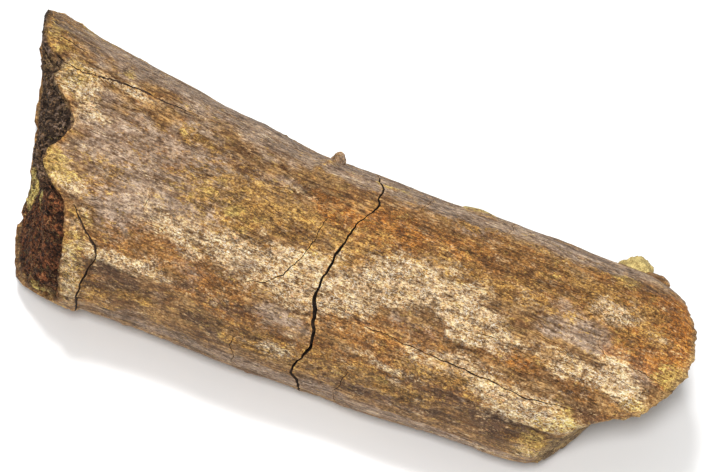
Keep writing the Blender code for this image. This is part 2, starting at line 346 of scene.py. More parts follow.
# Where each stain or crust lies, with some lilac bands that paint sheen and a floor reflection: station, angle, half
# length, half width, turn and strength.
STAINS: dict[Tint, tuple[tuple[float, ...], ...]] = {
    Tint.LILAC: (
        # The first three lilac bands, along angles 46 to 48, paint the pale far upper edge: partly the bone's own
        # lilac-grey, partly a painted sheen.
        (-60, 46, 95, 12, 0, 1.0), (20, 46, 60, 10, 0, 1.1), (90, 48, 50, 9, 0, 1.1), (-92, 92, 22, 13, 0, 1.1),
        (-81, 115, 18, 11, 5, 1.5), (-58, 104, 15, 11, 0, 1.3), (-55, 82, 35, 9, 0, 0.7), (-26, 120, 9, 4, 8, 1.0),
        (-47, 133, 10, 4, 10, 1.0), (-5, 139, 14, 5, 12, 0.9), (103, 94, 14, 7, 8, 1.7), (110, 98, 9, 5, 0, 0.8),
        (132, 104, 9, 6, 0, 1.0), (44, 122, 10, 4, 5, 0.8), (-70, 330, 60, 14, 0, 0.9), (40, 8, 50, 10, 0, 0.9),
        # These two lilac bands along the near lower edge paint a pale rim there: a painted reflection of the floor's
        # light.
        (30, 186, 90, 8, 0, 0.9), (-40, 183, 45, 6, 0, 0.6)),
    Tint.UMBER: (
        (-20, 345, 70, 8, 0, 0.8), (60, 232, 50, 9, 0, 0.8), (-26, 142, 30, 5, 5, 0.9), (-72, 153, 22, 7, 0, 0.9),
        (-35, 162, 26, 5, 0, 0.7), (40, 168, 40, 5, 0, 0.8), (62, 150, 24, 5, 6, 1.5), (-78, 158, 9, 16, 0, 0.8),
        (92, 156, 18, 6, 6, 1.6), (-24, 74, 26, 5, 0, 0.8), (-100, 54, 40, 4, 0, 0.6), (30, 95, 30, 4, 0, 0.4),
        (118, 134, 12, 4, 12, 0.9)),
    Tint.RUST: (
        (20, 318, 50, 12, 0, 0.9), (-80, 10, 40, 10, 0, 0.8), (-70, 90, 40, 12, 0, 0.55), (-62, 131, 26, 6, 8, 0.9),
        (-35, 132, 26, 6, 6, 0.8), (-92, 115, 10, 5, 0, 0.8), (24, 134, 22, 7, 0, 1.0), (50, 125, 25, 5, 4, 0.9),
        (84, 121, 16, 6, 8, 1.0), (113, 126, 18, 5, 14, 1.0), (50, 72, 60, 12, 0, 0.9), (100, 78, 36, 12, 0, 0.8),
        (118, 62, 24, 5, 4, 0.9), (20, 152, 30, 6, 0, 0.7), (-90, 160, 20, 14, 0, 0.5), (75, 144, 22, 4, 0, 0.8),
        (-5, 100, 26, 8, 0, 0.5), (-20, 150, 40, 5, 0, 0.7), (134, 76, 14, 12, 0, 1.0)),
    Tint.ORANGE: (
        (95, 12, 18, 12, 0, 0.8), (22, 80, 20, 10, 0, 1.0), (2, 77, 14, 6, 0, 0.8), (135, 79, 15, 17, 0, 1.8),
        (138, 68, 11, 10, 0, 1.6), (127, 92, 12, 9, 0, 0.7), (60, 78, 18, 6, 0, 0.5), (113, 82, 16, 8, 0, 0.9),
        (-9, 123, 6, 4, 0, 0.8), (88, 123, 8, 4, 0, 0.8), (-118, 158, 6, 12, 0, 0.4), (126, 95, 12, 8, 0, 0.5),
        (-92, 146, 5, 9, 0, 0.8)),
    Tint.OCHRE: (
        (-30, 8, 30, 12, 0, 0.8), (80, 340, 30, 12, 0, 0.9), (-60, 226, 40, 12, 0, 0.9), (-44, 98, 22, 13, 0, 1.0),
        (-34, 86, 18, 8, 0, 0.9), (-12, 92, 20, 9, 0, 0.75), (-70, 74, 12, 4, 0, 0.7), (-92, 108, 14, 6, 0, 0.7),
        (12, 95, 12, 8, 0, 0.7), (66, 88, 46, 8, 0, 0.75), (100, 70, 24, 6, 0, 0.7), (115, 80, 18, 10, 0, 0.9),
        (62, 142, 22, 5, 4, 0.8), (48, 158, 24, 5, 0, 0.7), (8, 160, 22, 8, 0, 0.9), (-12, 165, 18, 7, 0, 0.8),
        (-63, 162, 12, 5, 0, 0.9), (-82, 171, 9, 5, 0, 0.9), (-94, 158, 6, 26, 0, 1.0), (-133, 60, 10, 4, 0, 0.9),
        (48, 40, 14, 4, 0, 0.8), (70, 58, 50, 3, 0, 0.7), (102, 170, 10, 14, 0, 0.8), (-16, 50, 3, 12, 14, 1.0)),
    Tint.CREAM: (
        (10, 352, 22, 8, 6, 0.9), (-104, 350, 14, 7, 0, 0.8), (20, 224, 26, 7, 0, 0.8), (-119, 75, 9, 5, 0, 1.3),
        (-110, 80.5, 9, 2.6, 14, 1.4), (-100, 66.5, 18, 1.6, -8, 1.1), (-102, 119, 6, 4, 20, 1.4),
        (-92, 160, 5, 24, 0, 0.9), (-58, 121, 12, 4, 6, 1.1), (-36, 117, 16, 6, 6, 1.1), (-8, 119, 18, 8, 8, 1.3),
        (-4, 110, 10, 6, 0, 0.9), (14, 122, 14, 6, 4, 1.3), (26, 106, 16, 9, 0, 1.1), (40, 96, 14, 7, 0, 1.0),
        (54, 101, 18, 8, 4, 0.9), (70, 110, 16, 6, 6, 1.0), (71, 118, 10, 4, 6, 1.3), (110, 114, 14, 6, 6, 1.0),
        (124, 111, 9, 7, 0, 1.1), (131, 119, 9, 5, 20, 0.9), (96, 141, 24, 5.0, 6, 1.5), (68, 133, 18, 3, 4, 0.9),
        (-77, 140, 9, 3.4, 10, 1.1), (-64, 140, 10, 3, 8, 1.0), (-4, 160, 7, 5, 0, 0.8), (102, 176, 5, 6, 0, 0.9),
        (40, 145, 14, 3, 0, 0.7), (112, 80, 10, 5, 0, 0.8)),
    Tint.YELLOW: (
        (-50, 336, 12, 6, 0, 0.8), (-91, 136, 5, 6, 0, 0.5), (-91, 152, 6, 26, 0, 0.45), (-119, 73, 8, 5, 0, 1.1),
        (-108, 113, 7, 7, 0, 1.0), (-131, 63, 4, 3, 0, 1.1), (-138, 53, 6, 4, 0, 0.7), (-102, 58, 3, 2, 0, 1.0),
        (-73, 74, 2.6, 2, 0, 1.1), (-48, 98, 18, 9, 0, 0.6), (46, 34, 11, 4, 0, 1.1), (13, 50, 5, 2.5, 0, 1.0),
        (113, 59, 6, 4, 0, 0.9), (145, 99, 5, 8, 0, 1.0), (133, 123, 6, 5, 0, 1.0), (112, 142, 6, 5, 0, 1.0),
        (103, 168, 6, 14, 0, 0.7), (-119, 130, 5, 6, 0, 1.2), (-113, 184, 6, 8, 0, 0.9), (-130, 30, 30, 3, 0, 0.6)),
}

# Crusts on the broken left end: where each lies, its reach in mm and its strength.
BREAK_CRUSTS: dict[BreakTint, tuple[tuple[float, ...], ...]] = {
    BreakTint.TAN: ((-117, -45, 10, 7, 0.8), (-108, -52, 20, 7, 0.9), (-128, 20, 77, 7, 0.7), (-96, -52, 29, 5, 1.1)),
    BreakTint.LICHEN: (
        (-133, -4, 8, 6, 0.9), (-138, 4, 0, 7, 1.3), (-130, -4, 11, 7, 1.3), (-110, -27, 58, 5, 1.1),
        (-104, -50, 24, 5, 1.1)),
}

# Low swellings of the skin, and hollows where the height in mm at the end is negative.
SWELLINGS: tuple[tuple[float, ...], ...] = (
    (-142, 37, 12, 12, 0, 2.3), (-128, 60, 12, 6, 0, 0.6), (-117, 74, 9, 8, 0, 1.2), (-108, 113, 9, 9, 0, 0.9),
    (-93, 160, 8, 30, 0, 0.7), (-100, 95, 12, 8, 0, -0.8), (-16, 48, 2.4, 12, 14, 1.0), (97, 138, 24, 6, 5, 0.8),
    (92, 156, 24, 6, 6, -0.7), (40, 168, 36, 6, 0, -0.5), (-72, 153, 24, 8, 0, -0.6), (-70, 140, 22, 4, 9, 0.7),
    (102, 176, 7, 9, 0, 0.9), (97, 100, 18, 8, 8, -0.5), (113, 82, 14, 9, 0, 0.5), (46, 34, 10, 5, 0, 0.6),
    (5, 124, 22, 8, 6, 0.5), (-131, 64, 6, 5, 0, 0.8), (60, 60, 70, 3, 0, 0.35), (-40, 98, 24, 12, 0, 0.4),
)

LEDGES: tuple[Ledge, ...] = (
    Ledge(((-127, 68.3), (-119, 70.3), (-114.5, 69.2), (-107.6, 65.8), (-100, 64.5), (-77, 62)), True,
          Side.BEFORE, 0.9, 8.0),
    Ledge(((-136, 58), (-128.5, 57.8), (-121, 59)), True, Side.BEFORE, 0.7, 7.0),
    Ledge(((34, 131), (55, 133), (69, 134), (83.5, 135.5), (97, 136.5), (124, 134.5)), True, Side.PAST, 0.9, 6.0),
    Ledge(((55, 147), (85, 149), (112, 151)), True, Side.BEFORE, 1.0, 6.0),
    Ledge(((-96.5, 126), (-88.5, 135), (-82.5, 140), (-83, 151), (-86, 165), (-88.5, 188), (-90, 202)), False,
          Side.BEFORE, 1.5, 10.0),
    Ledge(((6, 96), (5, 120), (9, 140), (7, 160)), False, Side.BEFORE, 0.35, 7.0),
    Ledge(((60, 113), (80, 115), (100, 112)), True, Side.BEFORE, 0.5, 5.0),
)

MAIN_CRACK = Crack("main_crack", (
    (2, 26), (2, 34), (4, 40), (6, 47), (9, 54), (10, 59), (11.5, 66), (10.5, 72), (8, 78), (7, 84), (6.5, 96),
    (5, 107), (5, 120), (6, 127), (7.5, 133), (9, 140), (10, 149), (7, 160), (4, 168), (3, 174), (6, 180),
    (6, 190), (5, 204), (8, 222)), 1.5, 13.0, 0.9,
    ((0, 0.3), (0.1, 0.5), (0.22, 0.65), (0.3, 0.45), (0.38, 0.75), (0.5, 0.8), (0.56, 1.15), (0.68, 0.95),
     (0.73, 0.6), (0.8, 1.2), (0.88, 0.9), (1, 0.4)))

FINE_CRACKS: tuple[Crack, ...] = (
    Crack("flake_crack", ((-96.5, 126), (-92, 131), (-88.5, 135), (-82.5, 140), (-81.5, 145), (-83, 151), (-86, 165),
                          (-88.5, 188), (-90, 206)), 0.85, 4.5, 0.5),
    Crack("ridge_crack", ((-126, 68.8), (-119, 70.3), (-114.5, 69.2), (-107.6, 65.8), (-100, 64.5), (-89, 63.3),
                          (-77, 62), (-70, 61)), 0.85, 2.8, 0.3),
    Crack("peak_crack", ((-136, 58), (-128.5, 57.8), (-121, 59)), 0.75, 2.4, 0.4),
    Crack("near_split", ((14, 130), (21, 129), (34, 130), (55, 133), (69, 134), (83.5, 135.5), (97, 136.5),
                         (109, 134.5), (124, 133.8)), 0.6, 1.8, 0.5),
    Crack("side_hairline", ((-3, 80), (-4, 92), (-5, 104), (-7, 112), (-11, 120), (-16, 125), (-21, 128), (-25, 131)),
          0.7, 2.4),
    Crack("top_hairline_a", ((26, 63), (27, 52), (28, 43), (26, 36), (27, 28)), 0.45, 1.6),
    Crack("top_hairline_b", ((60, 60), (62, 50), (61, 41), (60, 34), (61, 28)), 0.45, 1.6),
    Crack("near_hairline_a", ((25, 152), (26, 160), (24, 170), (21, 184), (22, 196)), 0.75, 2.4),
    Crack("near_hairline_b", ((-20, 158), (-22, 166), (-20, 172), (-21, 184), (-20, 194)), 0.75, 2.4),
    Crack("skyline_crack", ((-67, 58), (-66, 51), (-58, 48.5), (-47, 46), (-33, 47), (-20, 46)), 0.45, 1.5),
    Crack("lilac_crack_a", ((-73, 106), (-70, 110), (-71, 116), (-66, 119)), 0.4, 1.2),
    Crack("lilac_crack_b", ((-76, 122), (-66, 120.5), (-57, 122.5)), 0.4, 1.2),
    Crack("lilac_crack_c", ((-44, 131), (-38, 134), (-33, 136)), 0.5, 1.4),
    Crack("tongue_crack_a", ((84, 104), (94, 105), (103, 108), (108, 112)), 0.45, 1.4),
    Crack("tongue_crack_b", ((112, 93), (113, 99), (118, 103), (122, 104)), 0.45, 1.4),
    Crack("tongue_crack_c", ((126, 104), (133, 104), (140, 106)), 0.5, 1.4),
    Crack("belt_crack", ((60, 116), (70, 115), (79, 113)), 0.4, 1.2),
)

LUMPS: tuple[Lump, ...] = (
    Lump("crust_lump", 110.5, 20, (7.6, 7.0, 6.3), 1.5),
    Lump("rim_lump", 119.5, 28, (6.0, 4.5, 2.6), 1.6, False),
    Lump("top_nub", -14.5, 38, (2.9, 4.2, 4.7), 0.7, False),
    Lump("low_crust", 46, 30, (8.0, 4.5, 1.6), 0.4),
)


def just_added(name: str) -> bpy.types.Object:
    """Names the piece that was added last, and hands it over."""
    bpy.context.active_object.name = name
    return bpy.context.active_object


def pick_only(obj: bpy.types.Object) -> None:
    """Leaves one object alone selected and active.

    Args:
        obj: that object.
    """
    for other in bpy.context.scene.objects:
        other.select_set(False)
    obj.select_set(True)
    bpy.context.view_layer.objects.active = obj


def points_of(obj: bpy.types.Object, what: str = "co") -> np.ndarray:
    """Reads an object's vertices.

    Args:
        obj: the object.
        what: co for their places in metres, or normal for their outward directions.

    Returns:
        A row for each vertex.
    """
    flat = np.empty(len(obj.data.vertices) * 3)
    obj.data.vertices.foreach_get(what, flat)
    return flat.reshape(-1, 3)


def set_points(obj: bpy.types.Object, places: np.ndarray) -> None:
    """Moves the object's vertices to these places."""
    obj.data.vertices.foreach_set("co", places.ravel())
    obj.data.update()


def change_mesh(obj: bpy.types.Object, change: Callable[[], object]) -> None:
    """Runs an edit-mode operator on all of an object's mesh.

    Args:
        obj: the object.
        change: the operator, with its settings.
    """
    pick_only(obj)
    bpy.ops.object.mode_set(mode="EDIT")
    bpy.ops.mesh.select_all(action="SELECT")
    change()
    bpy.ops.object.mode_set(mode="OBJECT")


def apply_all(obj: bpy.types.Object) -> None:
    """Applies every modifier on an object in turn.

    Args:
        obj: the object.
    """
    pick_only(obj)
    for modifier in list(obj.modifiers):
        bpy.ops.object.modifier_apply(modifier=modifier.name)


@dataclass
class Weathering:
    """The relief and the stains that the ground and the air have left on the bone."""

    form: ShaftForm
    grain_depth: float = 0.26
    crust_height: float = 0.5
    pit_depth: float = 0.6
    sponge_depth: float = 1.2
    sponge_cell: float = 2.5
    sponge_swell: float = 1.1
    fracture_depth: float = 1.3
    peak_station: float = -140.0
    low_break_slant: Triple = (-0.36, 0.79, 0.5)
    low_break_edge: tuple[float, float] = (42.0, 57.0)

    def survey(self, places: np.ndarray) -> dict[str, np.ndarray]:
        """Finds where each point lies and which broken place it belongs to.

        Args:
            places: points in metres.

        Returns:
            Arrays by name: station, angle, and break_left and break_right from 0 to 1.
        """
        station, angle, share = self.form.locate(places)
        left = station - self.form.around(self.form.left_rim, angle)
        right = self.form.around(self.form.right_rim, angle) - station
        inner = 1 - step(share, 0.9, 0.955)
        return {
            "station": station, "angle": angle,
            "break_left": np.maximum(1 - step(left, -1.6, -0.2), inner * (station < -60)),
            "break_right": np.maximum(1 - step(right, -0.5, 1.5), inner * (station > 60)),
        }

    def tints(self, places: np.ndarray, seen: dict[str, np.ndarray]) -> dict[Tint, np.ndarray]:
        """Works out how much of each stain or crust lies at each point.

        Args:
            places: points in metres.
            seen: what survey found for them.

        Returns:
            A value from 0 to 1 for each point, by tint.
        """
        station = seen["station"] + 5.0 * ripple(places, 16, 21.3) + 2.2 * ripple(places, 5, 4.9)
        angle = seen["angle"] + (3.6 * ripple(places, 14, 33.7, 2.0) + 1.6 * ripple(places, 4, 8.1, 2.0)) / ARC
        broken = 0.6 * rough(places, 9.0, 51.7, 2.2, 2)
        covers: dict[Tint, np.ndarray] = {}
        bare = np.zeros(len(places))
        for number, tint in enumerate(Tint):
            free = np.ones(len(places))
            for numbers in STAINS[tint]:
                free *= 1 - np.clip(Patch(*numbers).cover(station, angle), 0, 1)
            size = 6.0 if tint in BARE_TINTS else 4.0
            flecks = 0.55 * rough(places, size, 60.0 + 7.7 * number, 2.2, 3)
            amount = (1 - free) * (1 if tint in BARE_TINTS else 1 - 0.3 * bare)
            if tint is Tint.LILAC:
                bare = 1 - free
            covers[tint] = step(1.2 * amount + 0.35 * broken + flecks * (1 - 0.5 * bare), 0.06, 1.0)
        return covers

    def relief(self, places: np.ndarray, seen: dict[str, np.ndarray], covers: dict[Tint, np.ndarray]) -> np.ndarray:
        """Works out how far weathering moves each point of the skin.

        Args:
            places: points in metres.
            seen: what survey found for them.
            covers: the stains and crusts there.

        Returns:
            Height in mm along the outward normal.
        """
        station, angle = seen["station"], seen["angle"]
        large = sum(Patch(*numbers).cover(station, angle) for numbers in SWELLINGS)
        wander = 0.8 * ripple(places, 3.2, 14.4)
        large = large + sum(ledge.rise(station + wander, angle + wander / ARC) for ledge in LEDGES)
        large += 0.45 * ripple(places, 15, 71.2, 1.6) + 0.3 * ripple(places, 6, 44.6, 1.6)
        crust = np.clip(covers[Tint.OCHRE] + 1.15 * covers[Tint.CREAM] + 0.9 * covers[Tint.YELLOW], 0, 1.3)
        grain = ripple(places, 2.6, 5.5, 14) + 0.6 * ripple(places, 1.5, 6.5, 10)
        knobs = rough(places, 3.2, 9.4, 1.3, 3)
        pits = np.maximum(0, rough(places, 2.4, 17.9, 1.5, 2) - 0.25)
        height = large + self.grain_depth * grain * (1.15 - 0.5 * np.clip(crust, 0, 1))
        height += self.crust_height * crust * (0.55 + 1.1 * knobs)
        peak = 0.9 * np.exp(-(((station - self.peak_station) / 9) ** 2)) * rough(places, 5.0, 88.2, 1.0, 3)
        height += peak - self.pit_depth * pits * (0.4 + crust) * (1 - 0.7 * covers[Tint.LILAC])
        skin = (1 - seen["break_left"]) * (1 - seen["break_right"])
        sponge = cells(places, self.sponge_cell, 3.7)
        hollow = -self.sponge_depth * step(sponge, 0.05, 0.45) + self.sponge_swell * rough(places, 6.0, 27.1, 1.0, 4)
        fracture = self.fracture_depth * rough(places, 5.0, 41.5, 1.0, 4)
        return height * skin + hollow * seen["break_left"] + fracture * seen["break_right"] * (1 - seen["break_left"])

    def record(self, obj: bpy.types.Object) -> None:
        """Writes the stains, crusts, breaks and hollows onto a mesh as named attributes.

        Args:
            obj: the object whose mesh it is.
        """
        places = points_of(obj)
        seen = self.survey(places)
        values = {tint.value: cover for tint, cover in self.tints(places, seen).items()}
        values["sponge"] = seen["break_left"]
        values["fracture"] = seen["break_right"] * (1 - seen["break_left"])
        # The hollow attribute says where the finish paints shade into hollows and a highlight onto crests.
        values["hollow"] = self.hollows(obj)
        slant = (places / MM) @ np.array(self.low_break_slant)
        values["low_break"] = 1 - step(slant + 9 * rough(places, 14, 12.6, 1.0, 4), *self.low_break_edge)
        for tint, crusts in BREAK_CRUSTS.items():
            away = [np.linalg.norm(places / MM - np.array(middle), axis=1) / reach for *middle, reach, _ in crusts]
            covers = [crust[-1] * np.exp(-(far ** 2)) for crust, far in zip(crusts, away)]
            values[tint.value] = np.max(covers, axis=0) * seen["break_left"]
        for name, value in values.items():
            layer = obj.data.attributes.new(name, "FLOAT", "POINT")
            layer.data.foreach_set("value", np.ascontiguousarray(value, dtype=np.float32))

    def hollows(self, obj: bpy.types.Object) -> np.ndarray:
        """Works out how deep each point lies below its neighbours.

        Args:
            obj: the object whose mesh it is.

        Returns:
            0.5 where the mesh is level, 1 in a hollow and 0 on a crest.
        """
        places, normals = points_of(obj), points_of(obj, "normal")
        edges = np.empty(len(obj.data.edges) * 2, dtype=np.int64)
        obj.data.edges.foreach_get("vertices", edges)
        first, second = edges.reshape(-1, 2).T
        total = np.zeros(len(places))
        count = np.zeros(len(places))
        for here, there in ((first, second), (second, first)):
            lift = np.einsum("ij,ij->i", places[there] - places[here], normals[here])
            run = np.linalg.norm(places[there] - places[here], axis=1) + 1e-7
            np.add.at(total, here, lift / run)
            np.add.at(count, here, 1)
        level = total / np.maximum(count, 1)
        for _ in range(2):
            spread = np.zeros(len(places))
            np.add.at(spread, first, level[second])
            np.add.at(spread, second, level[first])
            level = 0.5 * level + 0.5 * spread / np.maximum(count, 1)
        return np.clip(0.5 + 2.2 * level, 0, 1)


@dataclass
class BoneSection:
    """The whole bone: its mesh, its cracks and its crust lumps, as one piece."""

    form: ShaftForm
    weathering: Weathering
    seen_segments: int = 168
    hidden_segments: int = 66
    core_rings: int = 52
    wall_rings: int = 18
    shaft_rings: int = 288
    face_rings: int = 14
    seen_from: float = 10.0
    seen_to: float = 208.0
    face_station: float = 125.0
    face_dish: float = 3.0
    core_edge: float = 0.085
    end_length: float = 0.075
    smooth_below: float = 58.0
    blade_step: float = 1.5
    blade_stand: float = 3.0
    block_size: float = 0.6
    knob_roughness: float = 0.32
    end_rounding: Knots = ((0.0, 0.075), (0.009, 0.05), (0.018, 0.03), (0.031, 0.017), (0.045, 0.008), (0.062, 0.003))

    def angles(self) -> np.ndarray:
        """Spaces the segments, close together where the bone is seen.

        Returns:
            The segments' angles in degrees.
        """
        seen = np.linspace(self.seen_from, self.seen_to, self.seen_segments, endpoint=False)
        hidden = np.linspace(self.seen_to, self.seen_from + 360, self.hidden_segments, endpoint=False)
        return np.concatenate([seen, hidden])

    def chips(self, angle: np.ndarray, finesse: float, seed: float) -> np.ndarray:
        """Noise round a rim, between -1 and 1: the finer, the more chips."""
        turn = np.radians(angle)
        return np.array([noise.noise(Vector((math.cos(t) * finesse, math.sin(t) * finesse, seed))) for t in turn])

    def rings(self, angle: np.ndarray) -> list[tuple[np.ndarray, np.ndarray]]:
        """Lays out every ring from the left pole to the right pole.

        Args:
            angle: the segments' angles.

        Returns:
            (station in mm, share of the radius) of each ring.
        """
        form = self.form
        jagged = 0.35 + 1.6 * np.exp(-(((angle - 140) / 26) ** 2))
        left_rim = form.around(form.left_rim, angle, 1.2)
        left_rim = left_rim + 1.3 * self.chips(angle, 9, 2.2) + 0.7 * self.chips(angle, 24, 5.1)
        left_core = form.around(form.left_core, angle)
        right_rim = form.around(form.right_rim, angle, 1.5)
        right_rim = right_rim + jagged * (self.chips(angle, 10, 8.4) + 0.8 * self.chips(angle, 26, 1.7))
        inset = form.around(form.core_step, angle)
        middle = left_core.mean() + self.face_dish
        whole = np.ones_like(angle)
        edge = 1 - inset - self.core_edge
        laid = [(np.full_like(angle, middle), whole * 0)]
        for n in range(1, self.core_rings + 1):
            share = n / self.core_rings
            laid.append((middle + (left_core - middle) * share ** 1.5, share * edge))
        for n in range(1, self.wall_rings + 1):
            way = n / self.wall_rings
            bulge = 1 - (1 - way) ** 3.0
            laid.append((left_core + way * (left_rim - 0.5 - left_core), edge + self.core_edge * bulge))
        length = right_rim - left_rim
        laid.append((left_rim - 0.25, 1 - inset * 0.45))
        last = 1 - self.end_length
        for n in range(self.shaft_rings):
            laid.append((left_rim + length * last * n / self.shaft_rings, whole))
        for back, loss in reversed(self.end_rounding):
            laid.append((right_rim - length * back, whole * (1 - loss)))
        for n in range(1, self.face_rings + 1):
            share = 1 - n / self.face_rings
            station = self.face_station + (right_rim - self.face_station) * share ** 1.3
            laid.append((station, whole * share * (1 - self.end_rounding[0][1])))
        return laid

    def rough_out(self) -> bpy.types.Object:
        """Draws a ball out into the shaft and shapes it over both broken ends.

        Returns:
            The bone, with faces that point outwards.
        """
        angle = self.angles()
        laid = self.rings(angle)
        bands = len(laid) - 1
        bpy.ops.mesh.primitive_uv_sphere_add(segments=len(angle), ring_count=bands, radius=1.0)
        bone = just_added("bone_section")
        ball = points_of(bone)
        ring = np.rint(np.arccos(np.clip(ball[:, 2], -1, 1)) / math.pi * bands).astype(int)
        segment = np.rint(np.arctan2(ball[:, 1], ball[:, 0]) / (2 * math.pi) * len(angle)).astype(int) % len(angle)
        station = np.array([laid[r][0][s] for r, s in zip(ring, segment)])
        share = np.array([laid[r][1][s] for r, s in zip(ring, segment)])
        skin, _ = self.form.skin(station, angle[segment])
        axis = self.form.axis(station)
        set_points(bone, axis + (skin - axis) * share[:, None])
        change_mesh(bone, partial(bpy.ops.mesh.normals_make_consistent, inside=False))
        return bone

    def weather(self, bone: bpy.types.Object) -> None:
        """Moves the skin in and out along its normals by the weathering's relief.

        Args:
            bone: the bone.
        """
        places = points_of(bone)
        seen = self.weathering.survey(places)
        covers = self.weathering.tints(places, seen)
        height = self.weathering.relief(places, seen, covers)
        set_points(bone, places + points_of(bone, "normal") * height[:, None] * MM)

    def grind(self, bone: bpy.types.Object) -> None:
        """Wears the underside flat at the table, by taking away all that lies below it.

        Args:
            bone: the bone, with its finish.
        """
        change_mesh(bone, partial(bpy.ops.mesh.quads_convert_to_tris, quad_method="BEAUTY", ngon_method="BEAUTY"))
        bpy.ops.mesh.primitive_cube_add(size=self.block_size, location=(0, 0, -self.block_size / 2))
        block = just_added("worn_block")
        block.data.materials.append(bone.data.materials[0])
        self.combine(bone, block, Joining.CUT)

    def combine(self, bone: bpy.types.Object, other: bpy.types.Object, joining: Joining) -> None:
        """Cuts another body out of the bone or fuses it on, and takes that body away.

        Args:
            bone: the bone.
            other: the other body, closed and with its finish.
            joining: how it changes the bone.
        """
        change = bone.modifiers.new(other.name, "BOOLEAN")
        change.operation = joining.value
        change.solver = "MANIFOLD"
        change.material_mode = "TRANSFER"
        change.object = other
        apply_all(bone)
        bpy.data.objects.remove(other)

    def crack_blade(self, crack: Crack, wall: bpy.types.Material) -> bpy.types.Object:
        """Makes a thin blade that follows a crack's route over the skin.

        Args:
            crack: the crack to cut.
            wall: the finish that it leaves on the crack's walls.

        Returns:
            The blade, wide at the skin and narrow at its foot.
        """
        fine = np.linspace(0, len(crack.route) - 1, 500)
        knots = np.arange(len(crack.route))
        station = np.interp(fine, knots, [p[0] for p in crack.route])
        angle = np.interp(fine, knots, [p[1] for p in crack.route])
        skin, _ = self.form.skin(station, angle)
        run = np.concatenate([[0], np.cumsum(np.linalg.norm(np.diff(skin, axis=0), axis=1))]) / MM
        count = max(6, round(run[-1] / self.blade_step))
        steps = np.linspace(0, run[-1], count + 1)
        seeds = np.stack([steps, steps * 0, steps * 0 + len(crack.name)], axis=1) * MM
        sway = crack.sway * (1.1 * ripple(seeds, 4.5, 2.3) + 0.5 * ripple(seeds, 1.9, 5.1))
        station, angle = np.interp(steps, run, station), np.interp(steps, run, angle)
        places, out = self.form.skin(station, angle)
        heading = np.gradient(places, axis=0)
        aside = np.cross(heading, out)
        aside /= np.linalg.norm(aside, axis=1)[:, None]
        places = places + aside * sway[:, None] * MM
        swell = np.interp(steps / run[-1], *zip(*crack.widths)) * (1 + 0.5 * ripple(seeds, 5.0, 8.8))
        bpy.ops.mesh.primitive_grid_add(x_subdivisions=count, y_subdivisions=1, size=2.0)
        blade = just_added(crack.name)
        flat = points_of(blade)
        at = np.rint((flat[:, 0] + 1) / 2 * count).astype(int)
        lip = flat[:, 1] > 0
        depth = crack.depth * (0.4 + 0.6 * swell[at]) * MM
        set_points(blade, places[at] + out[at] * np.where(lip, self.blade_stand * MM, -depth)[:, None])
        group = blade.vertex_groups.new(name="opening")
        for vertex, (where, high) in enumerate(zip(at, lip)):
            weight = min(1.0, 0.8 * max(0.15, float(swell[where]))) * (1.0 if high else 0.35)
            group.add([vertex], weight, "REPLACE")
        thick = blade.modifiers.new("opening", "SOLIDIFY")
        thick.thickness = crack.opening * MM / 0.8
        thick.offset = 0
        thick.vertex_group = group.name
        apply_all(blade)
        blade.data.materials.append(wall)
        return blade

    def cut(self, bone: bpy.types.Object, blades: list[bpy.types.Object]) -> None:
        """Cuts the bone with several blades at once, and takes the blades away.

        Args:
            bone: the bone.
            blades: the cracks' blades.
        """
        pick_only(blades[0])
        for blade in blades[1:]:
            blade.select_set(True)
        if len(blades) > 1:
            bpy.ops.object.join()
        self.combine(bone, blades[0], Joining.CUT)

    def grow_lump(self, bone: bpy.types.Object, lump: Lump, finish: bpy.types.Material) -> None:
        """Grows a knob out of the skin and fuses it to the bone.

        Args:
            bone: the bone.
            lump: the knob.
            finish: its finish.
        """
        places, out = self.form.skin(np.array([lump.station]), np.array([float(lump.angle)]))
        bpy.ops.mesh.primitive_ico_sphere_add(subdivisions=5, radius=1.0)
        knob = just_added(lump.name)
        ball = points_of(knob)
        lengthwise, outward = np.array([1.0, 0, 0]), out[0]
        across = np.cross(outward, lengthwise)
        centre = places[0] - outward * lump.sink * MM
        sizes = np.array(lump.half_sizes) * MM
        grown = centre + ball[:, :1] * sizes[0] * lengthwise + ball[:, 1:2] * sizes[1] * across
        grown = grown + ball[:, 2:] * sizes[2] * outward
        bumps = 0.5 * ripple(grown, 11, 3.3) + 0.6 * rough(grown, 4.0, 9.9, 1.0, 4)
        limit = min(lump.half_sizes) * self.knob_roughness
        set_points(knob, grown + (grown - centre) / np.linalg.norm(grown - centre, axis=1)[:, None]
                   * (np.clip(bumps, -1, 1) * limit * MM)[:, None])
        knob.data.materials.append(finish)
        self.combine(bone, knob, Joining.FUSE)

    def build(self, skin: bpy.types.Material, wall: bpy.types.Material, crust: bpy.types.Material
              ) -> bpy.types.Object:
        """Makes the bone, hides the CAD node fossil_bone and hangs the bone on the root body.

        Args:
            skin: the finish of the bone.
            wall: the finish inside its cracks.
            crust: the finish of the crust lumps.

        Returns:
            The finished piece.
        """
        bone = self.rough_out()
        self.weather(bone)
        bone.data.materials.append(skin)
        self.grind(bone)
        for lump in LUMPS:
            self.grow_lump(bone, lump, crust if lump.crusted else skin)
        self.cut(bone, [self.crack_blade(MAIN_CRACK, wall)])
        self.cut(bone, [self.crack_blade(crack, wall) for crack in FINE_CRACKS])
        self.weathering.record(bone)
        pick_only(bone)
        bpy.ops.object.shade_smooth_by_angle(angle=math.radians(self.smooth_below))
        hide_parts("fossil_bone")
        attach(bone, "root")
        return bone


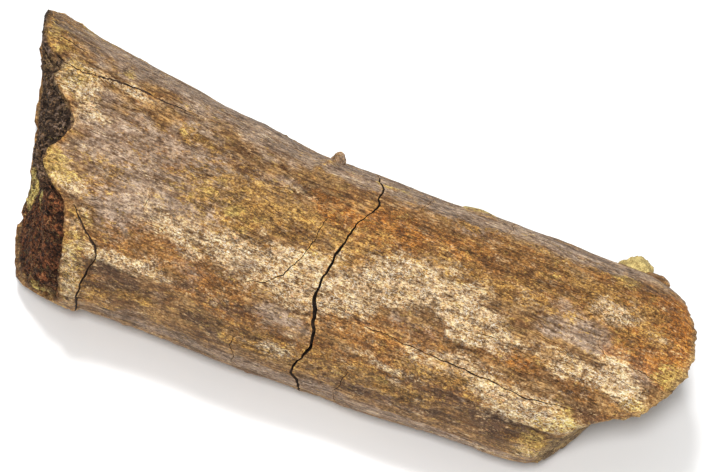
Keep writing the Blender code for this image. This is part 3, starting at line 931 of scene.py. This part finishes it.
@dataclass
class Wiring:
    """Adds and links nodes in one node tree. A value is a number, a vector, a colour or a socket to link."""

    tree: bpy.types.NodeTree

    def feed(self, socket: bpy.types.NodeSocket, value: object) -> None:
        """Links or sets an input.

        Args:
            socket: the input.
            value: what it gets. A colour may leave out its alpha.
        """
        if isinstance(value, bpy.types.NodeSocket):
            self.tree.links.new(value, socket)
        elif socket.type == "RGBA" and len(value) == 3:
            socket.default_value = (*value, 1.0)
        else:
            socket.default_value = value

    def give(self, node: bpy.types.Node, **values: object) -> bpy.types.Node:
        """Feeds a node's inputs.

        Args:
            node: the node.
            values: what each input gets, by its name with _ for a space.

        Returns:
            The node.
        """
        for title, value in values.items():
            self.feed(node.inputs[title.replace("_", " ")], value)
        return node

    def add(self, kind: str, inputs: dict[int | str, object], output: int | str = 0, **settings: object
            ) -> bpy.types.NodeSocket:
        """Adds a node.

        Args:
            kind: Blender's name of its kind.
            inputs: what each input gets, by its number or name.
            output: the number or name of the output that is wanted.
            settings: the node's own settings.

        Returns:
            That output.
        """
        node = self.tree.nodes.new(kind)
        for name, setting in settings.items():
            setattr(node, name, setting)
        for key, value in inputs.items():
            self.feed(node.inputs[key], value)
        return node.outputs[output]

    def use(self, group: bpy.types.NodeTree, **values: object) -> bpy.types.bpy_prop_collection:
        """Adds a group node.

        Args:
            group: the group.
            values: what each input gets, by its name.

        Returns:
            The node's outputs.
        """
        node = self.tree.nodes.new("ShaderNodeGroup")
        node.node_tree = group
        return self.give(node, **values).outputs

    def math(self, operation: str, first: object, second: object = 0.5, clamp: bool = False) -> bpy.types.NodeSocket:
        """A Math node's result. Clamped, it stays between 0 and 1."""
        return self.add("ShaderNodeMath", {0: first, 1: second}, operation=operation, use_clamp=clamp)

    def times(self, first: object, second: object) -> bpy.types.NodeSocket:
        """Two values multiplied."""
        return self.math("MULTIPLY", first, second)

    def plus(self, first: object, second: object) -> bpy.types.NodeSocket:
        """Two values added."""
        return self.math("ADD", first, second)

    def less(self, first: object, second: object) -> bpy.types.NodeSocket:
        """The first value less the second."""
        return self.math("SUBTRACT", first, second)

    def most(self, first: object, second: object) -> bpy.types.NodeSocket:
        """The larger of two values."""
        return self.math("MAXIMUM", first, second)

    def total(self, *parts: tuple[object, object]) -> bpy.types.NodeSocket:
        """The sum of values, each with the weight that it is multiplied by."""
        return reduce(self.plus, [self.times(value, weight) for value, weight in parts])

    def mix(self, share: object, first: object, second: object, blend: str = "MIX") -> bpy.types.NodeSocket:
        """The first colour with a share of the second laid on."""
        return self.add("ShaderNodeMix", {0: share, 6: first, 7: second}, 2, data_type="RGBA", blend_type=blend)

    def ramp(self, value: object, low: float, high: float) -> bpy.types.NodeSocket:
        """Goes smoothly from 0 where the value is low to 1 where it is high."""
        return self.add("ShaderNodeMapRange", {0: value, 1: low, 2: high}, interpolation_type="SMOOTHSTEP")

    def noise(self, vector: object, scale: object, detail: float, harshness: float) -> bpy.types.NodeSocket:
        """A Noise Texture's value. The harsher, the stronger its finer sizes."""
        inputs = {"Vector": vector, "Scale": scale, "Detail": detail, "Roughness": harshness}
        return self.add("ShaderNodeTexNoise", inputs)

    def cells(self, vector: object, scale: object) -> bpy.types.NodeSocket:
        """A Voronoi Texture's distance from the middle of the nearest cell."""
        return self.add("ShaderNodeTexVoronoi", {"Vector": vector, "Scale": scale}, "Distance")

    def mapped(self, vector: object, scale: Triple, shift: Triple = (0, 0, 0)) -> bpy.types.NodeSocket:
        """Coordinates scaled along each axis, then shifted."""
        return self.add("ShaderNodeMapping", {"Vector": vector, "Scale": scale, "Location": shift})

    def object_coords(self, scale: Triple = (1, 1, 1), shift: Triple = (0, 0, 0)) -> bpy.types.NodeSocket:
        """Object coordinates scaled along each axis, then shifted."""
        return self.mapped(self.add("ShaderNodeTexCoord", {}, "Object"), scale, shift)

    def attribute(self, name: str) -> bpy.types.NodeSocket:
        """A named attribute's value."""
        return self.add("ShaderNodeAttribute", {}, "Fac", attribute_name=name)

    def bump(self, height: object, strength: float, distance: float) -> bpy.types.NodeSocket:
        """The normal that a height gives."""
        return self.add("ShaderNodeBump", {"Height": height, "Strength": strength, "Distance": distance}, "Normal")


def new_group(name: str, inputs: list[tuple[str, str, object]], outputs: list[tuple[str, str]]
              ) -> tuple[Wiring, bpy.types.bpy_prop_collection, bpy.types.Node]:
    """Starts a shader node group.

    Args:
        name: the group's name.
        inputs: (name, kind, value) of each input, where the kind is Float, Color or Vector.
        outputs: (name, kind) of each output.

    Returns:
        The group's wiring, the values that it is given, and its output node.
    """
    group = bpy.data.node_groups.new(name, "ShaderNodeTree")
    for title, kind, value in inputs:
        socket = group.interface.new_socket(title, in_out="INPUT", socket_type=f"NodeSocket{kind}")
        if value is not None:
            socket.default_value = value
    for title, kind in outputs:
        group.interface.new_socket(title, in_out="OUTPUT", socket_type=f"NodeSocket{kind}")
    return Wiring(group), group.nodes.new("NodeGroupInput").outputs, group.nodes.new("NodeGroupOutput")


def mottle_group() -> bpy.types.NodeTree:
    """Makes the group that mottles two tones into each other: patches of its own, and fine grains handed in.

    Returns:
        The group.
    """
    wiring, given, made = new_group(
        "Mottled Tone",
        [("Vector", "Vector", None), ("Light", "Color", (1, 1, 1, 1)), ("Dark", "Color", (0, 0, 0, 1)),
         ("Size", "Float", 300.0), ("Grain", "Float", 0.4), ("Fine", "Float", 0.5)],
        [("Color", "Color")])
    soft = wiring.ramp(wiring.noise(given["Vector"], given["Size"], 4.0, 0.62), 0.36, 0.66)
    crisp = wiring.ramp(given["Fine"], 0.38, 0.62)
    share = wiring.math("ADD", soft, wiring.times(wiring.less(crisp, 0.5), given["Grain"]), clamp=True)
    wiring.give(made, Color=wiring.mix(share, given["Dark"], given["Light"]))
    return wiring.tree


def broken_mask_group() -> bpy.types.NodeTree:
    """Makes the group that breaks a soft mask up into ragged flecks.

    Returns:
        The group.
    """
    wiring, given, made = new_group(
        "Broken Mask",
        [("Mask", "Float", 0.5), ("Flecks", "Float", 0.5), ("Raggedness", "Float", 0.6)],
        [("Mask", "Float")])
    shift = wiring.times(wiring.less(given["Flecks"], 0.5), given["Raggedness"])
    total = wiring.plus(given["Mask"], wiring.times(shift, 4.2))
    wiring.give(made, Mask=wiring.ramp(total, 0.16, 1.0))
    return wiring.tree


def grain_group() -> bpy.types.NodeTree:
    """Makes the group for the bone's lengthwise grain: a streak value, thin dark lines, and a height for bump.

    Returns:
        The group.
    """
    wiring, given, made = new_group(
        "Lengthwise Grain", [("Vector", "Vector", None), ("Size", "Float", 420.0)],
        [("Streak", "Float"), ("Lines", "Float"), ("Height", "Float")])
    size = given["Size"]
    stretched = wiring.mapped(given["Vector"], (0.09, 1.0, 1.0))
    wide = wiring.noise(stretched, size, 4.0, 0.6)
    thin = wiring.noise(stretched, wiring.times(size, 3.0), 3.0, 0.6)
    both = wiring.total((wide, 0.6), (thin, 0.4))
    vein = wiring.noise(stretched, wiring.times(size, 1.3), 2.0, 0.5)
    away = wiring.math("ABSOLUTE", wiring.less(vein, 0.5))
    where = wiring.noise(given["Vector"], wiring.times(size, 0.3), 3.0, 0.6)
    lines = wiring.times(wiring.ramp(away, 0.03, 0.006), wiring.ramp(where, 0.44, 0.56))
    height = wiring.less(both, wiring.times(lines, 0.25))
    wiring.give(made, Streak=wiring.ramp(both, 0.36, 0.64), Lines=lines, Height=height)
    return wiring.tree


def pores_group() -> bpy.types.NodeTree:
    """Makes the group for fine pores: where they are, and a height for bump.

    Returns:
        The group.
    """
    wiring, given, made = new_group(
        "Fine Pores", [("Vector", "Vector", None), ("Size", "Float", 900.0), ("Amount", "Float", 0.5)],
        [("Pores", "Float"), ("Height", "Float")])
    spots = wiring.cells(given["Vector"], given["Size"])
    where = wiring.noise(given["Vector"], wiring.times(given["Size"], 0.33), 3.0, 0.6)
    reach = wiring.times(wiring.ramp(where, 0.42, 0.62), given["Amount"])
    pores = wiring.ramp(wiring.less(reach, spots), -0.08, 0.1)
    wiring.give(made, Pores=pores, Height=wiring.ramp(spots, 0.0, 0.5))
    return wiring.tree


def grit_group() -> bpy.types.NodeTree:
    """Makes the group for loose grit: where the dark grains lie and where the light ones do.

    Returns:
        The group.
    """
    wiring, given, made = new_group(
        "Grit", [("Vector", "Vector", None), ("Size", "Float", 1400.0)],
        [("Dark Grains", "Float"), ("Light Grains", "Float")])
    fine = wiring.noise(given["Vector"], given["Size"], 2.0, 0.5)
    broad = wiring.noise(given["Vector"], wiring.times(given["Size"], 0.12), 3.0, 0.6)
    total = wiring.plus(fine, wiring.times(wiring.less(broad, 0.5), 0.5))
    wiring.give(made, Dark_Grains=wiring.ramp(total, 0.46, 0.36), Light_Grains=wiring.ramp(total, 0.56, 0.66))
    return wiring.tree


@dataclass(frozen=True)
class Groups:
    """The node groups that the finishes share."""

    mottle: bpy.types.NodeTree
    broken: bpy.types.NodeTree
    grain: bpy.types.NodeTree
    pores: bpy.types.NodeTree
    grit: bpy.types.NodeTree


@dataclass
class Paint(Wiring):
    """The wiring of one material, with the shared groups at hand."""

    groups: Groups

    def mottle(self, place: object, light: Tone, dark: Tone, size: float, grain: float, fine: object
               ) -> bpy.types.NodeSocket:
        """Two tones mottled into each other."""
        return self.use(self.groups.mottle, Vector=place, Light=light, Dark=dark, Size=size, Grain=grain,
                        Fine=fine)["Color"]

    def lay(self, colour: object, tone: object, carrier: str, flecks: object, raggedness: float,
            strength: float = 1.0) -> bpy.types.NodeSocket:
        """Lays a tone over the colour in flecks.

        Args:
            colour: the colour below.
            tone: the colour laid on.
            carrier: the attribute that says where.
            flecks: the noise that breaks it up.
            raggedness: how far it is broken up.
            strength: how much of it there is at most.

        Returns:
            The new colour.
        """
        mask = self.use(self.groups.broken, Mask=self.attribute(carrier), Flecks=flecks, Raggedness=raggedness)
        return self.mix(self.times(mask["Mask"], strength), colour, tone)


def new_paint(name: str, groups: Groups) -> tuple[bpy.types.Material, Paint, bpy.types.Node]:
    """Starts a material.

    Args:
        name: the material's name.
        groups: the shared node groups.

    Returns:
        The material, its wiring and its shader.
    """
    made = bpy.data.materials.new(name)
    made.use_nodes = True
    return made, Paint(made.node_tree, groups), made.node_tree.nodes["Principled BSDF"]


@dataclass(frozen=True)
class ToneLayer:
    """One stain or crust: the attribute that places it, its two tones and how it is mottled."""

    tint: Tint
    light: Tone
    dark: Tone
    size: float
    grain: float
    raggedness: float
    strength: float


@dataclass(frozen=True)
class BoneFinish:
    """The weathered skin of the fossil bone. Noise scales are waves to a metre."""

    base_light: Tone = (0.42, 0.235, 0.085)
    base_dark: Tone = (0.16, 0.075, 0.028)
    layers: tuple[ToneLayer, ...] = (
        ToneLayer(Tint.UMBER, (0.19, 0.1, 0.056), (0.075, 0.036, 0.02), 260, 0.9, 0.6, 0.95),
        ToneLayer(Tint.LILAC, (0.56, 0.425, 0.32), (0.29, 0.2, 0.14), 260, 0.9, 0.35, 0.92),
        ToneLayer(Tint.RUST, (0.41, 0.18, 0.042), (0.13, 0.048, 0.012), 480, 1.0, 0.9, 0.85),
        ToneLayer(Tint.ORANGE, (0.54, 0.215, 0.036), (0.17, 0.05, 0.008), 480, 1.1, 0.9, 0.9),
        ToneLayer(Tint.OCHRE, (0.6, 0.34, 0.09), (0.17, 0.078, 0.02), 600, 1.3, 1.1, 0.85),
        ToneLayer(Tint.CREAM, (0.86, 0.66, 0.385), (0.36, 0.2, 0.08), 560, 1.2, 1.2, 0.88),
        ToneLayer(Tint.YELLOW, (0.8, 0.58, 0.17), (0.32, 0.19, 0.045), 700, 1.1, 1.0, 0.8),
    )
    sponge_light: Tone = (0.22, 0.14, 0.085)
    sponge_mid: Tone = (0.05, 0.028, 0.016)
    # The sponge's darkest tone: its cell middles, and painted shade in its hollows.
    sponge_dark_and_shade: Tone = (0.016, 0.007, 0.004)
    maroon_light: Tone = (0.22, 0.075, 0.028)
    maroon_dark: Tone = (0.042, 0.014, 0.006)
    lichen_light: Tone = (0.98, 0.78, 0.28)
    lichen_dark: Tone = (0.5, 0.34, 0.08)
    fracture_light: Tone = (0.46, 0.3, 0.12)
    fracture_dark: Tone = (0.14, 0.08, 0.04)
    speck: Tone = (0.1, 0.048, 0.019)
    vein: Tone = (1.0, 0.9, 0.74)
    grain_light: Tone = (0.8, 0.56, 0.28)
    streak_shade: Tone = (0.5, 0.38, 0.27)
    # Painted highlight soft-lit onto crests, and painted shade multiplied into hollows.
    crest_highlight: Tone = (0.95, 0.8, 0.58)
    hollow_painted_shade: Tone = (0.3, 0.2, 0.12)
    sponge_fibre: Tone = (0.25, 0.17, 0.125)
    sponge_rust: Tone = (0.34, 0.11, 0.04)
    sponge_grain: Tone = (0.42, 0.23, 0.1)
    cell_scale: float = 480.0
    roughness: float = 0.62
    sponge_dulling: float = 0.35
    specular: float = 0.25
    bump_strength: float = 0.95
    bump_distance: float = 0.0015

    def make(self, name: str, groups: Groups) -> bpy.types.Material:
        """Builds the material.

        Args:
            name: the material's name.
            groups: the shared node groups.

        Returns:
            The material.
        """
        made, paint, shader = new_paint(name, groups)
        place = paint.object_coords()
        cream, lilac, hollow = (paint.attribute(carrier) for carrier in ("cream", "lilac", "hollow"))
        grain = paint.use(groups.grain, Vector=place, Size=420.0)
        pores = paint.use(groups.pores, Vector=paint.object_coords((0.7, 1, 1)), Size=900.0, Amount=0.62)
        grit = paint.use(groups.grit, Vector=paint.object_coords((0.75, 1, 1)), Size=1300.0)
        stretched = paint.object_coords((0.55, 1, 1), (0.3, 0.1, 0.7))
        flecks = paint.total((paint.noise(stretched, 1100.0, 4.0, 0.7), 0.6),
                             (paint.noise(stretched, 300.0, 3.0, 0.6), 0.4))
        gaps = paint.less(1.0, flecks)
        fine = paint.noise(paint.object_coords((0.5, 1, 1)), 2600.0, 3.0, 0.6)
        colour = paint.mix(grain["Streak"], self.base_dark, self.base_light)
        for number, layer in enumerate(self.layers):
            shifted = paint.object_coords((0.55, 1, 1), (0.13 * number, 0.07, 0.21 * number))
            tone = paint.mottle(shifted, layer.light, layer.dark, layer.size, layer.grain, fine)
            if layer.tint in BARE_TINTS:
                tone = paint.mix(grain["Streak"], layer.dark, tone)
            colour = paint.lay(colour, tone, layer.tint.value, flecks if number % 2 else gaps, layer.raggedness,
                               layer.strength)
        shaded = paint.times(paint.ramp(grain["Streak"], 0.55, 0.1), 0.45)
        colour = paint.mix(shaded, colour, self.streak_shade, "MULTIPLY")
        colour = paint.mix(paint.times(grain["Lines"], 0.75), colour, self.speck)
        pale = paint.plus(0.16, paint.times(cream, 0.4))
        colour = paint.mix(paint.times(grit["Light Grains"], pale), colour, self.grain_light)
        gritty = paint.less(0.7, paint.times(lilac, 0.45))
        colour = paint.mix(paint.times(grit["Dark Grains"], gritty), colour, self.speck)
        colour = paint.mix(paint.times(pores["Pores"], 0.5), colour, self.speck)
        wander = paint.noise(paint.object_coords((0.6, 1, 1), (0.4, 0.2, 0.1)), 620.0, 3.0, 0.6)
        nearness = paint.ramp(paint.math("ABSOLUTE", paint.less(wander, 0.5)), 0.022, 0.004)
        colour = paint.mix(paint.times(paint.times(nearness, cream), 0.6), colour, self.vein)
        # Painted highlight on the mesh's crests and painted shade in its hollows, read from the hollow attribute.
        highlit_crests, hollows = paint.ramp(hollow, 0.5, 0.3), paint.ramp(hollow, 0.5, 0.72)
        colour = paint.mix(paint.times(highlit_crests, 0.5), colour, self.crest_highlight, "SOFT_LIGHT")
        colour = paint.mix(paint.times(hollows, 0.7), colour, self.hollow_painted_shade, "MULTIPLY")
        colour = paint.mix(paint.attribute("sponge"), colour, self.sponge(paint, place, flecks, fine))
        fracture = paint.mottle(stretched, self.fracture_light, self.fracture_dark, 300.0, 0.9, fine)
        colour = paint.mix(paint.attribute("fracture"), colour, fracture)
        speckle = paint.noise(paint.object_coords((0.45, 1, 1), (0.5, 0.6, 0.1)), 900.0, 4.0, 0.75)
        drift = paint.noise(paint.object_coords((0.35, 1, 1), (0.1, 0.8, 0.4)), 140.0, 3.0, 0.6)
        colour = paint.mix(0.48, colour, paint.ramp(speckle, 0.3, 0.7), "OVERLAY")
        colour = paint.mix(0.25, colour, paint.ramp(drift, 0.3, 0.7), "OVERLAY")
        dull = paint.plus(self.roughness, paint.times(paint.attribute("sponge"), self.sponge_dulling))
        relief = self.relief(paint, place, grain["Height"], pores["Height"])
        paint.give(shader, Base_Color=colour, Roughness=dull, Specular_IOR_Level=self.specular,
                   Normal=paint.bump(relief, self.bump_strength, self.bump_distance))
        return made

    def fibres(self, paint: Paint) -> bpy.types.NodeSocket:
        """The upright fibres of the spongy break, as noise."""
        return paint.noise(paint.object_coords((1, 1, 0.16), (0.2, 0.5, 0.0)), 640.0, 3.0, 0.6)

    def sponge(self, paint: Paint, place: bpy.types.NodeSocket, flecks: bpy.types.NodeSocket,
               fine: bpy.types.NodeSocket) -> bpy.types.NodeSocket:
        """Mixes the colour of the spongy break: dark cells with light walls, maroon low down, and painted shade in
        its hollows.

        Args:
            paint: the material's wiring.
            place: Object coordinates.
            flecks: the noise that breaks the crusts up.
            fine: the fine grains.

        Returns:
            The colour.
        """
        low = paint.attribute("low_break")
        high = paint.less(1.0, low)
        fibres = self.fibres(paint)
        tinted = paint.mix(low, paint.mottle(place, self.sponge_light, self.sponge_mid, 420.0, 1.4, fine),
                           paint.mottle(place, self.maroon_light, self.maroon_dark, 420.0, 1.4, fine))
        tinted = paint.mix(paint.times(paint.ramp(fibres, 0.52, 0.64), high), tinted, self.sponge_fibre)
        rusty = paint.times(paint.ramp(paint.noise(place, 330.0, 3.0, 0.6), 0.5, 0.6), low)
        tinted = paint.mix(paint.times(rusty, 0.7), tinted, self.sponge_rust)
        inside = paint.ramp(paint.cells(place, self.cell_scale), 0.42, 0.16)
        shut = paint.times(paint.ramp(fibres, 0.5, 0.4), high)
        pitted = paint.ramp(paint.noise(place, 270.0, 3.0, 0.65), 0.52, 0.42)
        inside = paint.most(inside, paint.most(shut, pitted))
        # Painted shade: the break's hollows darkened with its darkest tone.
        hollow = paint.times(paint.ramp(paint.attribute("hollow"), 0.42, 0.75), 0.7)
        colour = paint.mix(paint.most(paint.times(inside, 0.85), hollow), tinted, self.sponge_dark_and_shade)
        grit = paint.use(paint.groups.grit, Vector=place, Size=900.0)
        colour = paint.mix(paint.times(grit["Light Grains"], 0.35), colour, self.sponge_grain)
        for crust, light, dark in ((BreakTint.TAN, self.fracture_light, self.fracture_dark),
                                   (BreakTint.LICHEN, self.lichen_light, self.lichen_dark)):
            tone = paint.mottle(place, light, dark, 500.0, 1.2, fine)
            colour = paint.lay(colour, tone, crust.value, flecks, 0.7)
        return colour

    def relief(self, paint: Paint, place: bpy.types.NodeSocket, grain: bpy.types.NodeSocket,
               pores: bpy.types.NodeSocket) -> bpy.types.NodeSocket:
        """Adds up the fine relief.

        Args:
            paint: the material's wiring.
            place: Object coordinates.
            grain: the grain's height.
            pores: the pores' height.

        Returns:
            The height for the bump.
        """
        grit, lumpy = paint.noise(place, 1300.0, 5.0, 0.7), paint.noise(place, 420.0, 4.0, 0.6)
        walls = paint.ramp(paint.cells(place, self.cell_scale), 0.12, 0.5)
        spongy = paint.total((walls, 1.6), (self.fibres(paint), 2.0))
        return paint.total((grain, 0.8), (grit, 0.35), (lumpy, 0.7), (pores, 0.3),
                           (spongy, paint.attribute("sponge")))


@dataclass(frozen=True)
class PlainFinish:
    """A mottled finish of two tones, for crack walls and crust lumps."""

    light: Tone
    dark: Tone
    size: float
    roughness: float = 0.8
    bump_strength: float = 0.8
    bump_distance: float = 0.0008

    def make(self, name: str, groups: Groups) -> bpy.types.Material:
        """Builds the material, with its colour mottled and a gritty bump.

        Args:
            name: the material's name.
            groups: the shared node groups.

        Returns:
            The material.
        """
        made, paint, shader = new_paint(name, groups)
        place = paint.object_coords()
        fine = paint.noise(place, 2200.0, 3.0, 0.6)
        tone = paint.mottle(place, self.light, self.dark, self.size, 1.0, fine)
        pores = paint.use(groups.pores, Vector=place, Size=900.0, Amount=0.5)
        colour = paint.mix(paint.times(pores["Pores"], 0.6), tone, self.dark)
        gritty = paint.noise(place, 900.0, 5.0, 0.7)
        paint.give(shader, Base_Color=colour, Roughness=self.roughness,
                   Normal=paint.bump(gritty, self.bump_strength, self.bump_distance))
        return made


CRACK_WALL = PlainFinish((0.085, 0.042, 0.02), (0.01, 0.005, 0.003), 500.0)
LUMP_CRUST = PlainFinish((0.74, 0.58, 0.22), (0.34, 0.24, 0.08), 420.0)


@dataclass(frozen=True)
class SoftLight:
    """A square soft light: its place and side in metres, and its power in watts."""

    name: str
    place: Triple
    size: float
    power: float


@dataclass
class Studio:
    """A pale floor, soft lights and the camera."""

    azimuth: float = 24.5
    elevation: float = 60.0
    distance: float = 1.3
    target: Triple = (0.0055, 0.0177, 0.0375)
    lens: float = 164.4
    paper: float = 0.95
    air: float = 0.22
    lights: tuple[SoftLight, ...] = (
        SoftLight("key_light", (-0.14, 0.17, 1.55), 0.25, 13.8),
        SoftLight("front_light", (0.24, -0.58, 1.33), 0.25, 13.4),
        SoftLight("top_light", (0.0, 0.0, 1.8), 1.0, 3.5),
    )

    def add_floor(self) -> None:
        """Adds the pale floor at the table's height."""
        bpy.ops.mesh.primitive_plane_add(size=6.0, location=(0, 0, 0))
        floor = just_added("pale_floor")
        paper = bpy.data.materials.new("pale_paper")
        paper.use_nodes = True
        shader = paper.node_tree.nodes["Principled BSDF"]
        shader.inputs["Base Color"].default_value = (self.paper, self.paper, self.paper, 1.0)
        shader.inputs["Roughness"].default_value = 0.9
        floor.data.materials.append(paper)

    def add_light(self, light: SoftLight) -> None:
        """Hangs a light so that it faces the bone.

        Args:
            light: the light.
        """
        data = bpy.data.lights.new(light.name, "AREA")
        data.size = light.size
        data.energy = light.power
        lamp = bpy.data.objects.new(light.name, data)
        bpy.context.scene.collection.objects.link(lamp)
        lamp.location = light.place
        lamp.rotation_euler = (Vector(light.place) - Vector(self.target)).to_track_quat("Z", "Y").to_euler()

    def add_camera(self) -> None:
        """Adds the camera at the photograph's viewing angle."""
        turn, rise = math.radians(self.azimuth), math.radians(self.elevation)
        back = Vector((math.sin(turn) * math.cos(rise), -math.cos(turn) * math.cos(rise), math.sin(rise)))
        data = bpy.data.cameras.new("studio_camera")
        data.sensor_width = 36.0
        data.lens = self.lens
        camera = bpy.data.objects.new("studio_camera", data)
        bpy.context.scene.collection.objects.link(camera)
        camera.location = Vector(self.target) + back * self.distance
        camera.rotation_euler = back.to_track_quat("Z", "Y").to_euler()
        bpy.context.scene.camera = camera

    def add_sky(self) -> None:
        """Fills the room with even pale light."""
        world = bpy.data.worlds.new("studio_air")
        world.use_nodes = True
        world.node_tree.nodes["Background"].inputs["Color"].default_value = (1, 1, 1, 1)
        world.node_tree.nodes["Background"].inputs["Strength"].default_value = self.air
        bpy.context.scene.world = world
        bpy.context.scene.view_settings.view_transform = "Standard"

    def build(self) -> None:
        """Sets the studio up."""
        self.add_floor()
        for light in self.lights:
            self.add_light(light)
        self.add_sky()
        self.add_camera()
        log.info("studio: floor, lights and camera")


def main() -> None:
    """Builds the bone and the studio."""
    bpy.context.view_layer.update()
    groups = Groups(mottle_group(), broken_mask_group(), grain_group(), pores_group(), grit_group())
    skin = BoneFinish().make("weathered_bone", groups)
    wall = CRACK_WALL.make("crack_wall", groups)
    crust = LUMP_CRUST.make("lump_crust", groups)
    form = ShaftForm()
    bone = BoneSection(form, Weathering(form)).build(skin, wall, crust)
    triangles = sum(len(polygon.vertices) - 2 for polygon in bone.data.polygons)
    log.info("bone_section: %d vertices, %d triangles", len(bone.data.vertices), triangles)
    Studio().build()


if __name__ == "__main__":
    main()
